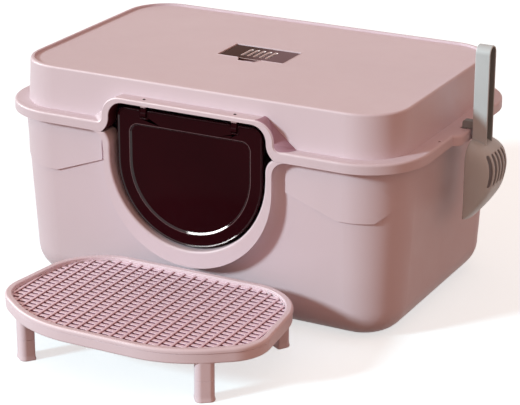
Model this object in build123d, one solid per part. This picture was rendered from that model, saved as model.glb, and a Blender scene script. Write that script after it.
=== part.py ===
from build123d import *
import math
import os

# Enclosed litter box: tub, lift-off lid, swinging door, deodoriser in the lid, scoop hung on
# the lid's end grip, and a free-standing grille step in front of the entry.
# Millimetres, +Z up, +X to the scoop's end, -Y to the entry.  Origin: centre of the tub's base.

past = 1.0  # how far a cut or a joint runs past the faces it meets

# ---- tub
tub_length = 508.0  # along X, at the floor
tub_depth = 325.4  # along Y, at the floor
tub_height = 229.2  # floor to the top of the rim
tub_corner = 54.0  # vertical corners, at the floor
tub_draft = 3.1  # degrees that each wall leans out
tub_wall = 3.0
tub_foot = 38.0  # round between the walls and the base
rim_overhang = 7.5
rim_thickness = 3.0

# ---- raised panels either side of the entry, upright where the wall leans
panel_inner = 126.0  # half-distance between the two panels
panel_knee = 192.0
panel_outer = 236.0
panel_high_drop = 50.7  # top of the rim down to the crease beside the entry
panel_low_drop = 74.7  # top of the rim down to the crease's level run
panel_fade = 0.6  # how far the panels' ends lie inside the end walls, at the crease

# ---- entry collar and tunnel in the tub
tunnel_radius = 106.0
entry_drop = 142.6  # top of the rim down to the tunnel's floor
tunnel_corner = 20.0  # where the sides turn out to meet the lid
tunnel_cusp = 4.0  # how far the turn is cut short of level at the parting plane
tunnel_inside = 6.0  # how far the tunnel runs past the tub's wall
collar_radius = 115.0
collar_drop = 164.2  # top of the rim down to the collar's foot
collar_corner = 18.0
collar_lip = 3.0  # round on the tunnel's front edge
collar_blend = 11.5  # hollow round from the collar to the wall

# ---- lid
seat_gap = 0.3  # lid resting on the rim, and every other piece that rests on another
rim_play = 2.8  # sideways room between the rim and the lip
lip_thickness = 3.2
lip_height = 12.5
ledge_end = 20.0  # lip face to lid wall, at the ends
ledge_front = 17.2  # lip face to lid wall, front and back
lid_rise = 53.6  # ledge to the top of the lid
lid_draft = 3.2
lid_corner = 60.0  # at the ledge
lid_wall = 2.6
lid_plate = 3.0
top_rim_width = 5.0
top_rim_height = 3.0
top_round = 3.0
lip_round = 3.0
skirt_drop = 7.0  # wall carried down inside the tub to centre the lid

# ---- end grips of the lid, each a widening of the lip
grip_reach = 9.5
grip_half = 40.0
grip_round = 14.0
hook_hole_length = 8.0
hook_hole_width = 13.0
drain_hole = 4.0
drain_hole_y = 66.0
drain_hole_inset = 6.0

# ---- hood over the entry, part of the lid
hood_half = 107.5  # inner half-width
hood_rise = 28.2  # ledge to the underside of the hood
hood_corner = 20.0
hood_foot = 24.0  # where the hood's sides turn out to the lip
hood_cusp = 4.0
hood_top = 5.6  # thickness of the hood's roof
hood_side = 9.6  # thickness of its sides at the front
hood_shoulder = 25.0  # outer round from the roof to the side, in front
hood_back_half = 98.0  # where roof and flank meet on the lid's wall
hood_back_slope = 50.0  # degrees that the flank leans there
hood_back_shoulder = 6.0
hood_turn = 7.0  # outer round from the side to the lip
hood_turn_sunk = 0.3  # how far that round is carried below level
hood_edge = 1.4  # bevel along the hood's front edge

# ---- door
door_radius = 98.5
door_bottom_gap = 2.4
door_top_gap = 7.7
door_top_corner = 12.0
door_thickness = 4.4
door_setback = 7.6  # collar face to door face
door_border = 17.0
door_head = 19.0  # border above the sunk panel
door_panel_corner = 10.0
door_recess = 2.4
door_bevel = 45.0
door_edge = 1.2

# ---- door hinge
hinge_spacing = 61.7  # half-distance between the two clips
hinge_below_top = 4.5
clip_width = 7.0
clip_wall = 2.4  # round the pin
clip_neck = 5.4  # front to back
pin_radius = 1.8
pin_play = 0.08
clip_side_gap = 0.6
clip_turn_gap = 0.8
peg_radius = 1.9
peg_play = 0.06
peg_sunk = 2.0  # top of the peg below the hood's roof
lug_height = 3.8  # lid's lug round the peg, below the hood's roof
lug_border = 1.6  # lug beyond the peg's hole

# ---- deodoriser in the lid
window_x = -4.0
window_y = 9.5
window_length = 92.0
window_width = 53.0
window_play = 0.5
pocket_depth = 18.5
pocket_wall = 2.0
pocket_ledge = 3.0
pocket_floor = 2.0
notch_wide = 32.0
notch_narrow = 21.0
notch_reach = 12.5
notch_depth = 5.0
cover_thickness = 2.4
cover_sunk = 0.8
cover_slot_width = 3.6
cover_slot_length = 29.0
cover_slot_pitch = 8.6
cover_slots = 5
cover_round = 1.1  # rear edge, round the pins
cover_pin_radius = 0.9
cover_pin_reach = 1.1
cover_pin_inset = 1.2
basket_wall = 1.6
basket_slots = 9
basket_slot_width = 3.0
basket_slot_pitch = 8.6
basket_border = 6.0  # basket's solid floor round its slots
pack_thickness = 8.6
pack_play = 1.2
pack_round = 3.0

# ---- scoop
scoop_gap = 3.6  # grip's outer edge to the handle's back
handle_deep = 18.6
handle_wide = 21.0
handle_rise = 105.5  # ledge to the top of the handle
channel_wall = 2.2
bowl_top = 10.5  # ledge down to the top of the bowl
bowl_height = 101.0  # top of the bowl down to its lip
bowl_half = 34.0
bowl_wall = 2.2
bowl_shoulder = 22.0  # round from the top to each side
bowl_bow = 6.0  # lip's middle below its ends
bowl_lip = 2.2  # depth of the bowl at its foot
bowl_belly = 22.5  # depth part of the way up
bowl_belly_rise = 26.4  # lip up to that belly
bowl_deep = 34.0  # depth where the upper round starts
bowl_deep_rise = 54.5
bowl_crown = 26.0  # depth where the upper round ends
bowl_crown_drop = 12.0  # top of the bowl down to there
bowl_neck_drop = 8.0  # top of the bowl down to where it leaves the handle
slot_count = 6
slot_pitch = 10.0
slot_width = 5.4
slot_high = 24.0  # below the ledge
slot_low = 60.0
slot_back = 12.0  # depth that the slots start from
hook_wide = 10.0
hook_thick = 9.5
hook_prong = 4.5
hook_drop = 10.5

# ---- step
step_x = 12.0  # the step's middle, seen from the front
step_gap = 3.6  # collar face to the back of the step
step_depth = 222.0
step_side_half = 175.5  # half of the length at the widest corners
step_back_cut = 19.7  # by how much each end of the back edge falls short of that
step_front_cut = 82.5  # and of the front edge
step_side_back = 159.5  # back edge to the widest corner
step_back_round = 65.0
step_side_round = 28.0
step_front_round = 60.0
step_height = 65.5
step_rim_width = 11.0
step_rim_height = 3.2  # rim above the grille
step_top_skirt = 5.5  # rim's own side, down to the seam
step_rim_round = 3.2
grille_bar_layer = 2.0  # long bars, running front to back
grille_rib_layer = 2.4  # cross ribs under them
grille_pitch_x = 15.0
grille_hole_x = 11.7
grille_pitch_y = 8.95
grille_hole_y = 6.3
grille_border = 1.5  # solid edge of the grille, let into the rim
locating_lip = 2.0  # ring under the rim that drops inside the skirt
locating_play = 0.5
skirt_inset = 0.8
skirt_wall = 2.6
skirt_height = 14.7
leg_wide = 22.0
leg_deep = 17.0
leg_round = 6.5
leg_inner_round = 2.0
socket_wall = 2.6
leg_seam = 26.0  # floor to the socket's lower end
plug_depth = 14.0
plug_play = 0.3
foot_flare = 1.0
foot_height = 5.0
front_leg_in = 56.0  # widest corner in to the front legs' middle
front_leg_back = 189.0  # back edge of the step to the front legs' middle
front_leg_turn = -52.8
rear_leg_in = 29.0  # end of the back edge in to the rear legs' middle
rear_leg_back = 18.2
rear_leg_turn = 58.4

# ---- worked out
panel_high = tub_height - panel_high_drop
panel_low = tub_height - panel_low_drop
tunnel_floor = tub_height - entry_drop
collar_bottom = tub_height - collar_drop
step_back_half = step_side_half - step_back_cut
step_front_half = step_side_half - step_front_cut
front_leg_x = step_side_half - front_leg_in
rear_leg_x = step_back_half - rear_leg_in
lean = math.tan(math.radians(tub_draft))
lid_lean = math.tan(math.radians(lid_draft))


def tub_span(base, height):
    """Outer size of the tub at a height, from its size at the floor."""
    return base + 2 * height * lean


rim_length = tub_span(tub_length, tub_height) + 2 * rim_overhang
rim_depth = tub_span(tub_depth, tub_height) + 2 * rim_overhang
rim_corner = tub_corner + tub_height * lean + rim_overhang
lip_reach = rim_play + lip_thickness
flange_length = rim_length + 2 * lip_reach
flange_depth = rim_depth + 2 * lip_reach
flange_corner = rim_corner + lip_reach
ledge_z = tub_height + seat_gap + lid_plate
lip_z = ledge_z - lip_height
lid_length = flange_length - 2 * ledge_end
lid_depth = flange_depth - 2 * ledge_front
lid_top_z = ledge_z + lid_rise
panel_z = lid_top_z - top_rim_height
entry_face = -flange_depth / 2
hood_under = ledge_z + hood_rise
hood_roof = hood_under + hood_top
hood_back_turn = hood_turn * math.tan(math.radians(90 - hood_back_slope) / 2)
hood_base = hood_back_half + hood_back_turn
hood_base += (hood_roof - ledge_z + hood_turn_sunk) * math.tan(math.radians(hood_back_slope))
collar_top = lip_z - seat_gap
tunnel_centre = tunnel_floor + tunnel_radius
collar_centre = collar_bottom + collar_radius
tunnel_end = -tub_span(tub_depth, tunnel_centre) / 2 + tub_wall + tunnel_inside
door_face = entry_face + door_setback
hinge_y = door_face + door_thickness / 2
door_low = tunnel_floor + door_bottom_gap
door_high = hood_under - door_top_gap
hinge_z = door_high - hinge_below_top
handle_back = flange_length / 2 + grip_reach + scoop_gap
handle_front = handle_back + handle_deep
handle_top = ledge_z + handle_rise
bowl_top_z = ledge_z - bowl_top
bowl_lip_z = bowl_top_z - bowl_height
hook_x = flange_length / 2
step_back = entry_face - step_gap
seam_z = step_height - step_top_skirt
grille_z = step_height - step_rim_height
grille_mid = grille_z - grille_bar_layer
grille_low = grille_mid - grille_rib_layer
skirt_top = seam_z - seat_gap
basket_low = panel_z - pocket_depth + pocket_floor + seat_gap
basket_high = panel_z - cover_sunk - cover_thickness - seat_gap


def rounded_block(length, depth, corner, z_low, z_high, taper=0.0):
    """Block with round upright corners; a negative taper widens it upwards."""
    base = Plane.XY.offset(z_low) * RectangleRounded(length, depth, corner)
    return extrude(base, amount=z_high - z_low, taper=taper)


def block(x_low, x_high, y_low, y_high, z_low, z_high):
    """Plain box from its lowest to its highest corner."""
    size = Box(x_high - x_low, y_high - y_low, z_high - z_low)
    return Pos((x_low + x_high) / 2, (y_low + y_high) / 2, (z_low + z_high) / 2) * size


def side_plane(y):
    """Upright plane at a y, with its own x along X and its own y along Z."""
    return Plane(origin=(0, y, 0), x_dir=(1, 0, 0), z_dir=(0, -1, 0))


def through_y(sketch, y_low, y_high):
    """Solid from an X-Z outline, running from y_low to y_high."""
    return extrude(side_plane(y_high) * sketch, amount=y_high - y_low)


def u_outline(half, bottom, radius, corner, top):
    """Half-round trough whose sides turn outwards at the top."""
    centre = bottom + radius
    turn = top - corner
    side = [
        Line((half + corner, top), (-half - corner, top)),
        CenterArc((-half - corner, turn), corner, 90, -90),
        Line((-half, turn), (-half, centre)),
        CenterArc((0, centre), radius, 180, 180),
        Line((half, centre), (half, turn)),
        CenterArc((half + corner, turn), corner, 180, -90),
    ]
    return make_face(Wire(side))


def tub_shell():
    """Open drafted tub, before its rim, panels and entry."""
    top_out = rounded_block(tub_length, tub_depth, tub_corner, 0, tub_height, -tub_draft)
    foot_edges = top_out.edges().group_by(Axis.Z)[0]
    outside = fillet(foot_edges, tub_foot)
    inner_length = tub_span(tub_length, tub_wall) - 2 * tub_wall
    inner_depth = tub_span(tub_depth, tub_wall) - 2 * tub_wall
    inner_corner = tub_corner + tub_wall * lean - tub_wall
    inside = rounded_block(
        inner_length, inner_depth, inner_corner, tub_wall, tub_height + tub_wall, -tub_draft
    )
    inside = fillet(inside.edges().group_by(Axis.Z)[0], tub_foot - tub_wall)
    return outside, inside


def front_panels(inside):
    """Upright panel each side of the entry, with its creased lower edge."""
    straight = rounded_block(
        tub_span(tub_length, panel_low) - 2 * panel_fade, tub_span(tub_depth, lip_z),
        tub_corner + panel_low * lean, panel_low - tub_foot, tub_height - rim_thickness,
    )
    outer_end = tub_span(tub_length, tub_height) / 2
    points = [
        (panel_inner, panel_high), (panel_knee, panel_low), (panel_outer, panel_low),
        (outer_end, panel_high), (outer_end, tub_height), (panel_inner, tub_height),
    ]
    panels = []
    for way in (1, -1):
        outline = make_face(Polyline([(way * x, z) for x, z in points], close=True))
        panels.append(through_y(outline, entry_face, -tub_depth / 4))
    return (straight & (panels[0] + panels[1])) - inside


def make_tub():
    outside, inside = tub_shell()
    stem = Pos(0, (tub_height + collar_centre) / 2) * Rectangle(
        2 * collar_radius, tub_height - collar_centre
    )
    stem_outline = Pos(0, collar_centre) * Circle(collar_radius) + stem
    body = outside + through_y(stem_outline, entry_face, tunnel_end)
    body = fillet(collar_wall_edges(body), collar_blend)
    rim = rounded_block(
        rim_length, rim_depth, rim_corner, tub_height - rim_thickness, tub_height
    )
    body = body + rim + front_panels(inside)
    end = hood_base + rim_play
    body = body - block(
        -end, end, entry_face - tub_wall, tunnel_end, collar_top, collar_top + tub_height
    )
    boss_outline = u_outline(
        collar_radius, collar_bottom, collar_radius, collar_corner, collar_top
    )
    boss = through_y(boss_outline, entry_face, tunnel_end)
    body = body + boss - (inside - boss)
    mouth_outline = u_outline(
        tunnel_radius, tunnel_floor, tunnel_radius, tunnel_corner, collar_top + tunnel_cusp
    )
    body = body - through_y(mouth_outline, entry_face - tub_wall, tunnel_end + tub_wall)
    return fillet(mouth_edges(body), collar_lip)


def collar_wall_edges(body):
    """Edges where the collar's outside meets the tub's front wall."""
    found = []
    for edge in body.edges():
        mid = edge @ 0.5
        across = math.hypot(mid.X, mid.Z - collar_centre)
        on_ring = mid.Z < collar_centre and abs(across - collar_radius) < 0.5
        on_side = mid.Z >= collar_centre and abs(abs(mid.X) - collar_radius) < 0.5
        ends_back = min((edge @ 0).Y, (edge @ 1).Y) > entry_face + collar_lip
        if ends_back and (on_ring or on_side):
            found.append(edge)
    return found


def mouth_edges(body):
    """Edges of the tunnel's mouth on the collar's front face."""
    found = []
    for edge in body.edges():
        mid = edge @ 0.5
        across = math.hypot(mid.X, mid.Z - tunnel_centre)
        on_ring = mid.Z < tunnel_centre and abs(across - tunnel_radius) < 0.5
        on_side = mid.Z >= tunnel_centre and abs(abs(mid.X) - tunnel_radius) < 0.5
        if abs(mid.Y - entry_face) < 0.01 and (on_ring or on_side):
            found.append(edge)
    return found


def hood_opening():
    """X-Z outline of the hood's opening, its sides turned out at the lip."""
    foot_half = hood_half + hood_foot
    low = lip_z - hood_cusp
    turn = low + hood_foot
    shoulder = hood_under - hood_corner
    top_half = hood_half - hood_corner
    side = [
        Line((-foot_half, low), (foot_half, low)),
        CenterArc((foot_half, turn), hood_foot, 270, -90),
        Line((hood_half, turn), (hood_half, shoulder)),
        CenterArc((top_half, shoulder), hood_corner, 0, 90),
        Line((top_half, hood_under), (-top_half, hood_under)),
        CenterArc((-top_half, shoulder), hood_corner, 90, 90),
        Line((-hood_half, shoulder), (-hood_half, turn)),
        CenterArc((-foot_half, turn), hood_foot, 0, -90),
    ]
    return make_face(Wire(side))


def hood_half_section(way, half, slope, shoulder, inset):
    """Edges down one side of the hood's section: shoulder, side, turned-out foot, end face."""
    tilt = math.radians(slope)
    turn = math.tan(math.radians(90 - slope) / 2)
    roof = hood_roof - inset
    level = ledge_z - hood_turn_sunk - inset
    foot = half - inset + (roof - level) * math.tan(tilt)
    over = (shoulder - inset) * turn
    under = (hood_turn + inset) * turn
    roof_end = (way * (half - inset - over), roof)
    side_top = (way * (half - inset + over * math.sin(tilt)), roof - over * math.cos(tilt))
    side_low = (way * (foot - under * math.sin(tilt)), level + under * math.cos(tilt))
    foot_end = (way * (foot + under), level)
    base_end = (way * (foot + under), lip_z)
    downwards = (way * math.sin(tilt), -math.cos(tilt))
    return roof_end, base_end, [
        TangentArc(roof_end, side_top, tangent=(way, 0)),
        Line(side_top, side_low),
        TangentArc(side_low, foot_end, tangent=downwards),
        Line(foot_end, base_end),
    ]


def hood_section(y, half, slope, shoulder, inset=0.0):
    """X-Z section of the solid hood, closed by its roof and its base, drawn in by an inset."""
    roof_right, base_right, right = hood_half_section(1, half, slope, shoulder, inset)
    roof_left, base_left, left = hood_half_section(-1, half, slope, shoulder, inset)
    outline = [Line(roof_left, roof_right)] + right + [Line(base_right, base_left)] + left[::-1]
    return side_plane(y) * make_face(Wire(outline))


def make_hood():
    """Solid hood, before its opening: round-shouldered in front, flanks flared to the wall."""
    wall_y = -(lid_depth / 2 - lid_wall)
    half = hood_half + hood_side
    back = hood_section(wall_y, hood_back_half, hood_back_slope, hood_back_shoulder)
    edge = hood_section(entry_face + hood_edge, half, 0, hood_shoulder)
    front = hood_section(entry_face, half, 0, hood_shoulder, hood_edge)
    return loft([back, edge], ruled=True) + loft([edge, front], ruled=True)


def grip_outline(inset):
    """Lip outline with an end grip widened on each short side, all drawn in by an inset."""
    whole = RectangleRounded(
        flange_length - 2 * inset, flange_depth - 2 * inset, flange_corner - inset
    )
    reach = flange_length / 2 + grip_reach - inset
    grips = Rectangle(2 * reach, 2 * (grip_half - inset))
    grips = fillet(grips.vertices(), grip_round - inset)
    joined = whole + grips
    inner = [v for v in joined.vertices() if abs(abs(v.X) - flange_length / 2 + inset) < 0.01]
    inner = [v for v in inner if abs(abs(v.Y) - grip_half + inset) < 0.01]
    return fillet(inner, grip_round / 2) if inner else joined


def lid_block(inset, z_low, z_high):
    """Drafted block of the lid's wall, drawn in by an inset, between two heights."""
    shrink = 2 * (z_low - ledge_z) * lid_lean + 2 * inset
    return rounded_block(
        lid_length - shrink, lid_depth - shrink, lid_corner - shrink / 2,
        z_low, z_high, lid_draft,
    )


def end_holes():
    """Hook hole and two drain holes in each end grip."""
    cuts = []
    for way in (1, -1):
        hook_hole = Box(hook_hole_length, hook_hole_width, 3 * lid_plate)
        cuts.append(Pos(way * hook_x, 0, ledge_z) * hook_hole)
        for side in (1, -1):
            place = Pos(
                way * (flange_length / 2 - drain_hole_inset), side * drain_hole_y, ledge_z
            )
            cuts.append(place * Cylinder(drain_hole / 2, 3 * lid_plate))
    return cuts


def make_lid():
    body = extrude(Plane.XY.offset(lip_z) * grip_outline(0), amount=lip_height)
    body = fillet(body.edges().group_by(Axis.Z)[-1], lip_round)
    channel = extrude(
        Plane.XY.offset(lip_z) * grip_outline(lip_thickness), amount=lip_height - lid_plate
    )
    body = body - channel
    shell = lid_block(0, ledge_z - lid_plate, lid_top_z)
    shell = fillet(shell.edges().group_by(Axis.Z)[-1], top_round)
    skirt = rounded_block(
        lid_length, lid_depth, lid_corner, ledge_z - lid_plate - skirt_drop, ledge_z
    )
    body = body + shell + skirt + make_hood()
    top_length = lid_length - 2 * lid_rise * lid_lean - 2 * top_rim_width
    top_depth = lid_depth - 2 * lid_rise * lid_lean - 2 * top_rim_width
    top_corner = lid_corner - lid_rise * lid_lean - top_rim_width
    body = body - rounded_block(top_length, top_depth, top_corner, panel_z, lid_top_z + past)
    body = body + pocket_outside()
    cavity = lid_block(lid_wall, ledge_z, panel_z - lid_plate)
    cavity = cavity + rounded_block(
        lid_length - 2 * lid_wall, lid_depth - 2 * lid_wall, lid_corner - lid_wall,
        lip_z - skirt_drop, ledge_z,
    )
    cavity = cavity - pocket_outside()
    body = body - cavity
    body = body - through_y(hood_opening(), entry_face - lid_wall, -lid_depth / 4)
    body = body - window_pocket()
    for lug in lid_lugs():
        body = body + lug
    for cut in end_holes() + clip_holes():
        body = body - cut
    return body


def at_window(x_low, x_high, y_low, y_high, z_low, z_high):
    """Box measured from the middle of the deodoriser's window."""
    return block(
        window_x + x_low, window_x + x_high, window_y + y_low, window_y + y_high, z_low, z_high
    )


def notch(z_low, z_high, grow):
    """Finger notch in front of the window, narrowing forwards, with its walls moved out."""
    back = -window_width / 2
    front = back - notch_reach - grow
    wide = notch_wide / 2 + grow
    narrow = notch_narrow / 2 + grow
    points = [
        (wide, back + past), (wide, back), (narrow, front),
        (-narrow, front), (-wide, back), (-wide, back + past),
    ]
    outline = make_face(Polyline(points, close=True))
    return extrude(Pos(window_x, window_y, z_low) * outline, amount=z_high - z_low)


def pocket_outside():
    """Solid that the deodoriser's pocket and finger notch are cut from."""
    half_x = window_length / 2 + pocket_wall
    half_y = window_width / 2 + pocket_wall
    sleeve = at_window(-half_x, half_x, -half_y, half_y, panel_z - pocket_depth, panel_z)
    return sleeve + notch(panel_z - notch_depth - pocket_wall, panel_z, pocket_wall)


def window_pocket():
    """Pocket for the basket and cover, open below inside a narrow ledge."""
    half_x = window_length / 2
    half_y = window_width / 2
    floor = panel_z - pocket_depth + pocket_floor
    deep = at_window(-half_x, half_x, -half_y, half_y, floor, panel_z + past)
    outlet = at_window(
        -half_x + pocket_ledge, half_x - pocket_ledge,
        -half_y + pocket_ledge, half_y - pocket_ledge,
        floor - 2 * pocket_floor, floor + past,
    )
    bore = cover_pin(cover_pin_reach + window_play, pin_play)
    return deep + outlet + notch(panel_z - notch_depth, panel_z + past, 0) + bore


def cover_pin(reach, play):
    """Rod along the cover's rear edge; the lid's bores take it with some play."""
    axis_y = window_y + window_width / 2 - window_play - cover_pin_inset
    axis_z = panel_z - cover_sunk - cover_thickness / 2
    length = window_length + 2 * reach
    rod = Cylinder(cover_pin_radius + play, length, rotation=(0, 90, 0))
    return Pos(window_x, axis_y, axis_z) * rod


def clip_holes():
    """Round holes through the hood's roof that take the clips' pegs."""
    holes = []
    length = hood_top + lug_height
    for way in (1, -1):
        place = Pos(way * hinge_spacing, hinge_y, hood_roof - length / 2)
        holes.append(place * Cylinder(peg_radius + peg_play, 2 * length))
    return holes


def lid_lugs():
    """Lugs under the hood's roof that the clips' pegs run up through."""
    half = peg_radius + peg_play + lug_border
    lugs = []
    for way in (1, -1):
        x = way * hinge_spacing
        lugs.append(
            block(
                x - clip_width / 2, x + clip_width / 2, hinge_y - half, hinge_y + half,
                hood_under - lug_height, hood_under + hood_top / 2,
            )
        )
    return lugs


def along_x(x_low, x_high, y, z, radius):
    """Rod along X."""
    rod = Cylinder(radius, x_high - x_low, rotation=(0, 90, 0))
    return Pos((x_low + x_high) / 2, y, z) * rod


def d_outline(half, low, high, corner):
    """Half-round plate outline with a straight top and two round top corners."""
    centre = low + half
    top_half = half - corner
    shoulder = high - corner
    side = [
        Line((half, centre), (half, shoulder)),
        CenterArc((top_half, shoulder), corner, 0, 90),
        Line((top_half, high), (-top_half, high)),
        CenterArc((-top_half, shoulder), corner, 90, 90),
        Line((-half, shoulder), (-half, centre)),
        CenterArc((0, centre), half, 180, 180),
    ]
    return make_face(Wire(side))


def make_door():
    """Flap with a sunk, bevelled panel and a pin across each hinge notch."""
    outline = d_outline(door_radius, door_low, door_high, door_top_corner)
    body = through_y(outline, door_face, door_face + door_thickness)
    body = chamfer(body.faces().sort_by(Axis.Y)[0].edges(), door_edge)
    floor = door_border + door_recess
    panel = d_outline(
        door_radius - floor, door_low + floor, door_high - door_head - door_recess,
        door_panel_corner,
    )
    sunk = side_plane(door_face + door_recess) * panel
    body = body - extrude(sunk, amount=door_recess, taper=-door_bevel)
    room = clip_width / 2 + clip_side_gap
    clear = pin_radius + clip_wall + clip_turn_gap
    for way in (1, -1):
        x = way * hinge_spacing
        body = body - block(
            x - room, x + room, door_face - door_thickness, door_face + 2 * door_thickness,
            hinge_z - clear, door_high + clear,
        )
        body = body + along_x(x - 2 * room, x + 2 * room, hinge_y, hinge_z, pin_radius)
    return body


def make_clip(way):
    """Hinge clip: a ring round the door's pin, a neck, and a peg up into the hood's roof."""
    low = way * hinge_spacing - clip_width / 2
    high = low + clip_width
    lug_z = hood_under - lug_height
    body = along_x(low, high, hinge_y, hinge_z, pin_radius + clip_wall)
    body = body + block(
        low, high, hinge_y - clip_neck / 2, hinge_y + clip_neck / 2, hinge_z, lug_z
    )
    bore = pin_radius + pin_play
    body = body - along_x(low - past, high + past, hinge_y, hinge_z, bore)
    peg_top = hood_roof - peg_sunk
    peg = Cylinder(peg_radius, peg_top - lug_z)
    return body + Pos(way * hinge_spacing, hinge_y, (peg_top + lug_z) / 2) * peg


def make_cover():
    """Slotted cover, hinged on two short pins along its rear edge."""
    half_x = window_length / 2 - window_play
    half_y = window_width / 2 - window_play
    top = panel_z - cover_sunk
    body = at_window(-half_x, half_x, -half_y, half_y, top - cover_thickness, top)
    rear = body.edges().filter_by(Axis.X).group_by(Axis.Y)[-1]
    body = fillet(rear, cover_round)
    for index in range(cover_slots):
        x = window_x + (index - (cover_slots - 1) / 2) * cover_slot_pitch
        slot = SlotOverall(cover_slot_length, cover_slot_width, rotation=90)
        lifted = Pos(x, window_y, top - 2 * cover_thickness) * slot
        body = body - extrude(lifted, amount=3 * cover_thickness)
    return body + cover_pin(cover_pin_reach, 0)


def make_basket():
    """Open tray with a slotted floor, standing on the pocket's ledge."""
    half_x = window_length / 2 - window_play
    half_y = window_width / 2 - window_play
    body = at_window(-half_x, half_x, -half_y, half_y, basket_low, basket_high)
    body = body - at_window(
        basket_wall - half_x, half_x - basket_wall, basket_wall - half_y, half_y - basket_wall,
        basket_low + basket_wall, basket_high + past,
    )
    for index in range(basket_slots):
        x = (index - (basket_slots - 1) / 2) * basket_slot_pitch
        body = body - at_window(
            x - basket_slot_width / 2, x + basket_slot_width / 2,
            basket_border - half_y, half_y - basket_border,
            basket_low - past, basket_low + basket_wall + past,
        )
    return body


def make_pack():
    """Charcoal pillow lying in the basket."""
    inset = window_play + basket_wall + pack_play
    half_x = window_length / 2 - inset
    half_y = window_width / 2 - inset
    low = basket_low + basket_wall + seat_gap
    body = at_window(-half_x, half_x, -half_y, half_y, low, low + pack_thickness)
    return fillet(body.edges(), pack_round)


def along_x_sketch(sketch, x_low, x_high):
    """Solid from a Y-Z outline, running from x_low to x_high."""
    return extrude(Plane.YZ.offset(x_low) * sketch, amount=x_high - x_low)


def bowl_side_view():
    """X-Z outline of the scoop's bowl; its upright back is the open side, its foot runs on."""
    back = handle_back
    foot = bowl_lip_z - past
    lip = (back + bowl_lip, foot)
    belly = (back + bowl_belly, bowl_lip_z + bowl_belly_rise)
    deepest = (back + bowl_deep, bowl_lip_z + bowl_deep_rise)
    crown = (back + bowl_crown, bowl_top_z - bowl_crown_drop)
    lower = ThreePointArc(lip, belly, deepest)
    upper = TangentArc(deepest, crown, tangent=lower % 1)
    outline = [
        Line((back, foot), lip),
        lower,
        upper,
        Line(crown, (handle_front, bowl_top_z - bowl_neck_drop)),
        Line((handle_front, bowl_top_z - bowl_neck_drop), (handle_front, bowl_top_z)),
        Line((handle_front, bowl_top_z), (back, bowl_top_z)),
        Line((back, bowl_top_z), (back, foot)),
    ]
    return make_face(Wire(outline))


def bowl_front_view(inset):
    """Y-Z outline of the bowl, drawn in by an inset: round shoulders and a bowed lip."""
    half = bowl_half - inset
    top = bowl_top_z - inset
    shoulder = bowl_shoulder - inset
    low = bowl_lip_z + bowl_bow + inset
    outline = [
        Line((half, low), (half, top - shoulder)),
        CenterArc((half - shoulder, top - shoulder), shoulder, 0, 90),
        Line((half - shoulder, top), (shoulder - half, top)),
        CenterArc((shoulder - half, top - shoulder), shoulder, 90, 90),
        Line((-half, top - shoulder), (-half, low)),
        ThreePointArc((-half, low), (0, low - bowl_bow), (half, low)),
    ]
    return make_face(Wire(outline))


def make_bowl():
    """Scoop's bowl as a solid, and the hollow to take from it."""
    side_view = bowl_side_view()
    reach = handle_back + bowl_deep + bowl_crown
    body = through_y(side_view, -bowl_half, bowl_half)
    body = body & along_x_sketch(bowl_front_view(0), handle_back - past, reach)
    hollow_view = offset(side_view, amount=-bowl_wall, kind=Kind.INTERSECTION)
    hollow = through_y(hollow_view, -bowl_half, bowl_half)
    hollow = hollow + block(
        handle_back - past, handle_back + bowl_wall + past, -bowl_half, bowl_half,
        bowl_lip_z + bowl_wall - past, bowl_top_z - bowl_wall,
    )
    inner_view = bowl_front_view(bowl_wall)
    hollow = hollow & along_x_sketch(inner_view, handle_back - 2 * past, reach)
    return body, hollow


def make_scoop():
    body, hollow = make_bowl()
    body = body - hollow
    for index in range(slot_count):
        y = (index - (slot_count - 1) / 2) * slot_pitch
        body = body - block(
            handle_back + slot_back, handle_back + bowl_deep + bowl_crown,
            y - slot_width / 2, y + slot_width / 2, ledge_z - slot_low, ledge_z - slot_high,
        )
    half = handle_wide / 2
    low = bowl_top_z - bowl_wall
    straight = handle_top - half
    body = body + block(handle_back, handle_front, -half, half, low, straight)
    body = body + along_x(handle_back, handle_front, 0, straight, half)
    inner = half - channel_wall
    back = handle_back + channel_wall
    front = handle_front + past
    body = body - block(back, front, -inner, inner, bowl_top_z, straight)
    body = body - along_x(back, front, 0, straight, inner)
    arm_low = ledge_z + seat_gap
    prong = hook_x - hook_prong / 2
    body = body + block(
        prong, handle_back + channel_wall / 2, -hook_wide / 2, hook_wide / 2,
        arm_low, arm_low + hook_thick,
    )
    return body + block(
        prong, prong + hook_prong, -hook_wide / 2, hook_wide / 2,
        arm_low - hook_drop, arm_low + hook_thick,
    )


def step_outline(inset):
    """Plan of the step, drawn in by an inset."""
    corners = [
        (step_back_half, 0, step_back_round),
        (step_side_half, step_side_back, step_side_round),
        (step_front_half, step_depth, step_front_round),
    ]
    right = [(step_x + x, step_back - y) for x, y, _ in corners]
    left = [(step_x - x, step_back - y) for x, y, _ in corners]
    plan = make_face(Polyline(right + left[::-1], close=True))
    for x, y, size in corners:
        pair = [
            vertex for vertex in plan.vertices()
            if abs(abs(vertex.X - step_x) - x) < 0.01 and abs(step_back - vertex.Y - y) < 0.01
        ]
        plan = fillet(pair, size)
    if inset == 0:
        return plan
    return offset(plan, amount=-inset, kind=Kind.INTERSECTION)


def layer(plan, z_low, z_high):
    """Solid of a plan outline between two heights."""
    return extrude(Plane.XY.offset(z_low) * plan, amount=z_high - z_low)


def grille_stripes(count, pitch, width, length, turn):
    """Row of parallel stripes about the step's middle."""
    stripes = []
    for index in range(count):
        along = (index - (count - 1) / 2) * pitch
        place = Pos(step_x, step_back - step_depth / 2) * Rot(0, 0, turn) * Pos(along, 0)
        stripes.append(place * Rectangle(width, length))
    return stripes


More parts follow.
